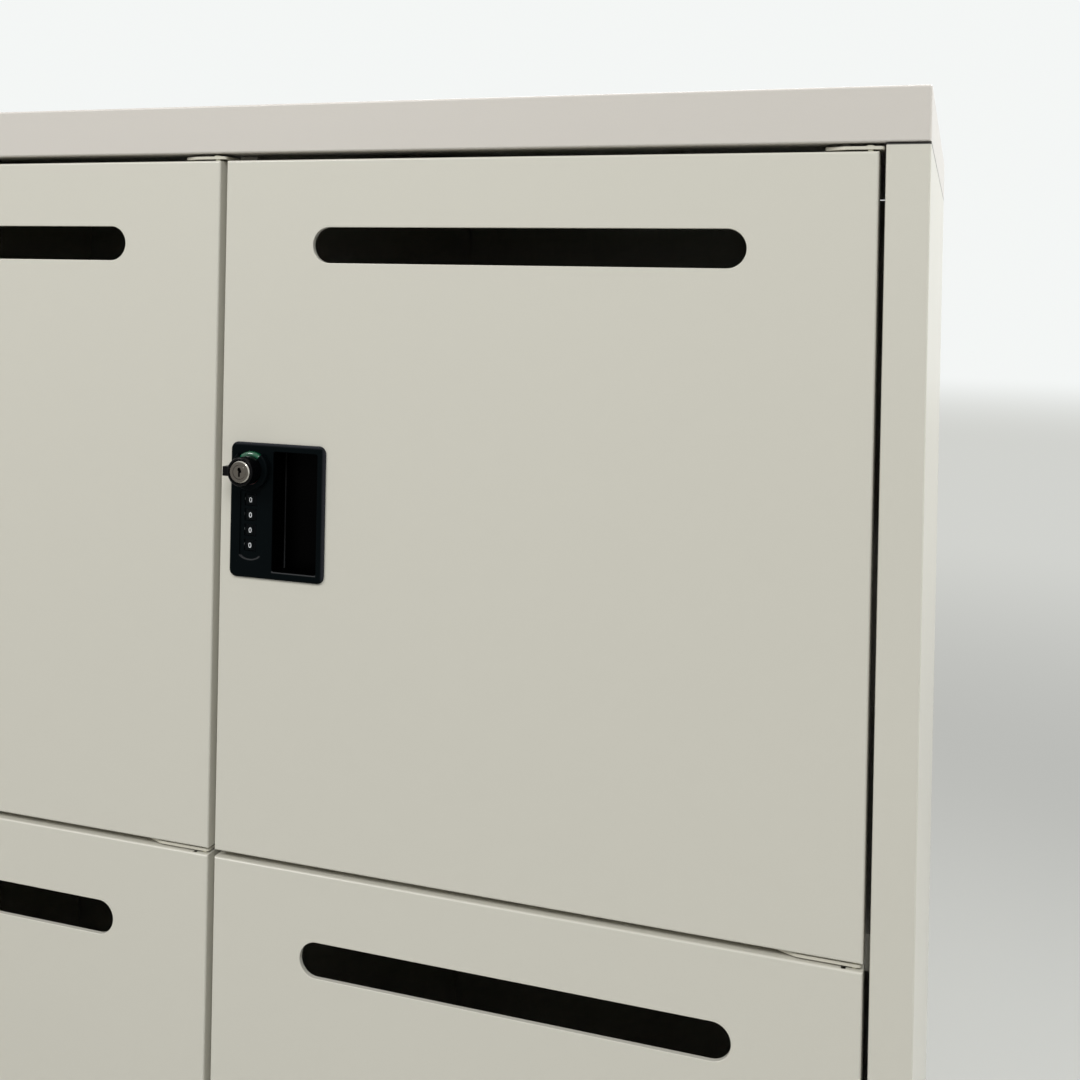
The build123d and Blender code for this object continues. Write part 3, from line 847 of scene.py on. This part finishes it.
@dataclass
class Lock:
    """Combination lock with a key override.

    Attributes:
        finishes: The locker's finishes.
        door: Name of the door.
        dials: How many dials the lock has.
        bezel_proud: How far the bezel stands in front of the cabinet's front plane.
    """

    finishes: Finishes
    door: str
    dials: int = 4
    bezel_proud: float = 2.3 * MM

    def face(self) -> LockFace:
        """Measures the lock's face on the CAD."""
        low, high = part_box(f"lock_housing_{self.door}")
        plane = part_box("top_cap")[0][1] - self.bezel_proud
        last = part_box(f"dial_{self.dials}_{self.door}")
        dial_x = joint_axis(f"{self.door}_dial_{self.dials}_turn").x
        return LockFace(low[0], high[0], low[2], high[2], plane, dial_x, (last[0][2] + last[1][2]) / 2)

    def build(self) -> None:
        """Dresses the lock and builds its dials."""
        plain = self.finishes.plain
        # The housing's material carries painted highlights and painted shade.
        dress(f"lock_housing_{self.door}", self.finishes.housing.build_on(self.finishes.grain, self.face()))
        dress(f"knob_{self.door}", plain(self.finishes.knob))
        dress(f"cam_{self.door}", plain(self.finishes.zinc))
        axis = joint_axis(f"{self.door}_knob_turn")
        dress(f"indicator_ring_{self.door}", self.finishes.indicator.build_about(self.finishes.grain, axis))
        metal = self.finishes.turned.build_about(self.finishes.grain, axis)
        dress(f"key_cylinder_{self.door}", metal)
        dress(f"key_plug_{self.door}", metal)
        for number in range(1, self.dials + 1):
            Dial(self.finishes, self.door, number).build()


@dataclass
class Door:
    """A door with its stiffener and lock.

    Attributes:
        finishes: The locker's finishes.
        row: The door's row.
        column: The door's column.
    """

    finishes: Finishes
    row: Row
    column: Column

    @property
    def name(self) -> str:
        """The door's name, such as upper_left."""
        return f"{self.row.value}_{self.column.value}"

    def build(self) -> None:
        """Dresses the door and builds its lock."""
        dress(f"door_{self.name}", self.finishes.plain(self.finishes.panel))
        dress(f"door_stiffener_{self.name}", self.finishes.plain(self.finishes.inner))
        Lock(self.finishes, self.name).build()
        LOG.info("built door %s", self.name)


# ---------------------------------------------------------------- studio
@dataclass(frozen=True)
class Lamp:
    """A soft box.

    Attributes:
        name: The lamp's name.
        place: Where it hangs, in metres.
        size: Its width, in metres.
        power: Its power, in watts.
        colour: Its colour.
    """

    name: str
    place: tuple[float, float, float]
    size: float
    power: float
    colour: tuple[float, float, float] = (1.0, 1.0, 1.0)

    def hang(self, target: Vector) -> None:
        """Makes the lamp and aims it.

        Args:
            target: The point that it faces.
        """
        data = bpy.data.lights.new(self.name, "AREA")
        data.shape = "SQUARE"
        data.size = self.size
        data.energy = self.power
        data.color = self.colour
        lamp = bpy.data.objects.new(self.name, data)
        lamp.location = self.place
        lamp.rotation_euler = (target - Vector(self.place)).to_track_quat("-Z", "Y").to_euler()
        bpy.context.scene.collection.objects.link(lamp)


@dataclass
class Studio:
    """Camera, lamps, floor and world.

    Attributes:
        top: Height of the cabinet.
        front: Y of the cabinet's front plane.
        camera_right: Camera place right of the cabinet's middle.
        camera_ahead: Camera place in front of the front plane.
        camera_below_top: Camera place below the cabinet's top.
        yaw: Camera turn to the left, in degrees.
        pitch: Camera tilt up, in degrees.
        roll: Camera roll, in degrees.
        lens: Focal length on a 36 mm wide sensor, in millimetres.
        shift: Vertical shift of the frame, as a share of its width.
        near_tone: Floor colour round the object.
        middle_tone: Floor colour some way off.
        far_tone: Colour of the background.
        floor_radius: Radius of the floor.
        floor_fade: Distances from the object between which the floor stops taking the lamps' light.
        middle_fade: Distances between which the floor's tone goes from near to middle.
        far_fade: Distances between which it goes from middle to far.
        world_light: Strength of the even light on surfaces.
        floor_drop: How far the floor lies below the object, in metres.
        lamps: The lamps.
    """

    top: float
    front: float
    camera_right: float = 520.7 * MM
    camera_ahead: float = 829.9 * MM
    camera_below_top: float = 131.5 * MM
    yaw: float = 18.245
    pitch: float = -0.170
    roll: float = 1.115
    lens: float = 42.85
    shift: float = -0.2287
    near_tone: tuple[float, float, float] = (0.49, 0.495, 0.473)
    middle_tone: tuple[float, float, float] = (0.640, 0.647, 0.618)
    far_tone: tuple[float, float, float] = (0.905, 0.925, 0.915)
    floor_radius: float = 40.0
    floor_fade: tuple[float, float] = (0.9, 2.2)
    middle_fade: tuple[float, float] = (1.6, 4.5)
    far_fade: tuple[float, float] = (8.0, 16.0)
    world_light: float = 0.26
    floor_drop: float = 0.5 * MM
    lamps: tuple[Lamp, ...] = (
        Lamp("key_softbox", (1.3, -3.0, 3.6), 1.5, 77.0, (0.985, 1.0, 1.0)),
        Lamp("fill_softbox", (-1.8, -2.8, 3.0), 1.1, 60.0, (1.0, 0.985, 0.965)),
        Lamp("side_softbox", (2.0, 0.25, 2.6), 1.0, 60.0),
        Lamp("back_softbox", (-0.6, 3.2, 2.6), 2.4, 60.0),
    )

    def set_camera(self) -> None:
        """Makes the scene's camera."""
        data = bpy.data.cameras.new("camera")
        data.sensor_width = 36.0
        data.lens = self.lens
        data.shift_y = self.shift
        camera = bpy.data.objects.new("camera", data)
        yaw, pitch, roll = (math.radians(a) for a in (self.yaw, self.pitch, self.roll))
        forward = Vector((-math.sin(yaw) * math.cos(pitch), math.cos(yaw) * math.cos(pitch), math.sin(pitch)))
        right = Vector((math.cos(yaw), math.sin(yaw), 0.0))
        up = right.cross(forward)
        turned_right = math.cos(roll) * right + math.sin(roll) * up
        turned_up = math.cos(roll) * up - math.sin(roll) * right
        axes = Matrix((turned_right, turned_up, -forward)).transposed().to_4x4()
        place = Vector((self.camera_right, self.front - self.camera_ahead, self.top - self.camera_below_top))
        camera.matrix_world = Matrix.Translation(place) @ axes
        bpy.context.scene.collection.objects.link(camera)
        bpy.context.scene.camera = camera

    def background_rays(self, tree: bpy.types.NodeTree) -> bpy.types.NodeSocket:
        """Gives 1 for rays that show the background plainly, and 0 for rays that light the object."""
        rays = add_node(tree, "ShaderNodeLightPath")
        seen = add_math(tree, "ADD", rays.outputs["Is Camera Ray"], rays.outputs["Is Glossy Ray"], clamp=True)
        return add_math(tree, "ADD", seen, rays.outputs["Is Transmission Ray"], clamp=True)

    def set_world(self) -> None:
        """Makes the world: a pale background for the eye and a soft even light for surfaces."""
        world = bpy.data.worlds.new("studio_world")
        bpy.context.scene.world = world
        world.use_nodes = True
        tree = world.node_tree
        tree.nodes.clear()
        out = add_node(tree, "ShaderNodeOutputWorld")
        light = add_node(tree, "ShaderNodeBackground")
        light.inputs["Color"].default_value = (1.0, 1.0, 1.0, 1.0)
        light.inputs["Strength"].default_value = self.world_light
        seen = add_node(tree, "ShaderNodeBackground")
        seen.inputs["Color"].default_value = (*self.far_tone, 1.0)
        mix = add_node(tree, "ShaderNodeMixShader")
        tree.links.new(self.background_rays(tree), mix.inputs[0])
        tree.links.new(light.outputs[0], mix.inputs[1])
        tree.links.new(seen.outputs[0], mix.inputs[2])
        tree.links.new(mix.outputs[0], out.inputs["Surface"])

    def fade(
        self, tree: bpy.types.NodeTree, distance: bpy.types.NodeSocket, span: tuple[float, float]
    ) -> bpy.types.NodeSocket:
        """Gives a smooth step over a span of distances.

        Args:
            tree: The tree that gets the node.
            distance: The distance's socket.
            span: Where the step starts and ends.

        Returns:
            A socket that goes from 0 to 1.
        """
        step = add_node(tree, "ShaderNodeMapRange", interpolation_type="SMOOTHSTEP")
        tree.links.new(distance, step.inputs["Value"])
        step.inputs["From Min"].default_value = span[0]
        step.inputs["From Max"].default_value = span[1]
        return step.outputs["Result"]

    def floor_material(self) -> bpy.types.Material:
        """Makes the floor's material, which goes over into the background far from the object."""
        material = bpy.data.materials.new("studio_floor")
        material.use_nodes = True
        tree = material.node_tree
        tree.nodes.clear()
        out = add_node(tree, "ShaderNodeOutputMaterial")
        matte = add_node(tree, "ShaderNodeBsdfDiffuse")
        matte.inputs["Color"].default_value = (*self.near_tone, 1.0)
        glow = add_node(tree, "ShaderNodeEmission")
        length = add_node(tree, "ShaderNodeVectorMath", operation="LENGTH")
        tree.links.new(add_node(tree, "ShaderNodeTexCoord").outputs["Object"], length.inputs[0])
        distance = length.outputs["Value"]
        lamplight = self.fade(tree, distance, self.floor_fade)
        share = add_math(tree, "MULTIPLY", lamplight, self.background_rays(tree))
        middle = self.fade(tree, distance, self.middle_fade)
        tone = mix_colour(tree, middle, self.near_tone, self.middle_tone)
        tone = mix_colour(tree, self.fade(tree, distance, self.far_fade), tone, self.far_tone)
        tree.links.new(tone, glow.inputs["Color"])
        mix = add_node(tree, "ShaderNodeMixShader")
        tree.links.new(share, mix.inputs[0])
        tree.links.new(matte.outputs[0], mix.inputs[1])
        tree.links.new(glow.outputs[0], mix.inputs[2])
        tree.links.new(mix.outputs[0], out.inputs["Surface"])
        return material

    def lay_floor(self) -> None:
        """Makes the floor as a wide disc, just below the object."""
        shape = bmesh.new()
        bmesh.ops.create_circle(shape, cap_ends=True, cap_tris=True, segments=96, radius=self.floor_radius)
        mesh = bpy.data.meshes.new("studio_floor")
        shape.to_mesh(mesh)
        shape.free()
        floor = bpy.data.objects.new("studio_floor", mesh)
        floor.location.z = -self.floor_drop
        mesh.materials.append(self.floor_material())
        bpy.context.scene.collection.objects.link(floor)

    def build(self) -> None:
        """Makes the whole studio."""
        bpy.context.scene.view_settings.view_transform = "Standard"
        self.set_camera()
        self.set_world()
        self.lay_floor()
        target = Vector((0.0, self.front, self.top / 2))
        for lamp in self.lamps:
            lamp.hang(target)
        LOG.info("built the studio")


def main() -> None:
    """Builds the studio and the locker."""
    logging.basicConfig(level=logging.INFO, format="%(name)s: %(message)s")
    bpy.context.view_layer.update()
    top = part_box("top_cap")[1][2]
    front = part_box("top_cap")[0][1]
    Studio(top=top, front=front).build()
    finishes = Finishes()
    Carcass(finishes).build()
    for column in Column:
        for row in Row:
            Door(finishes, row, column).build()


if __name__ == "__main__":
    main()
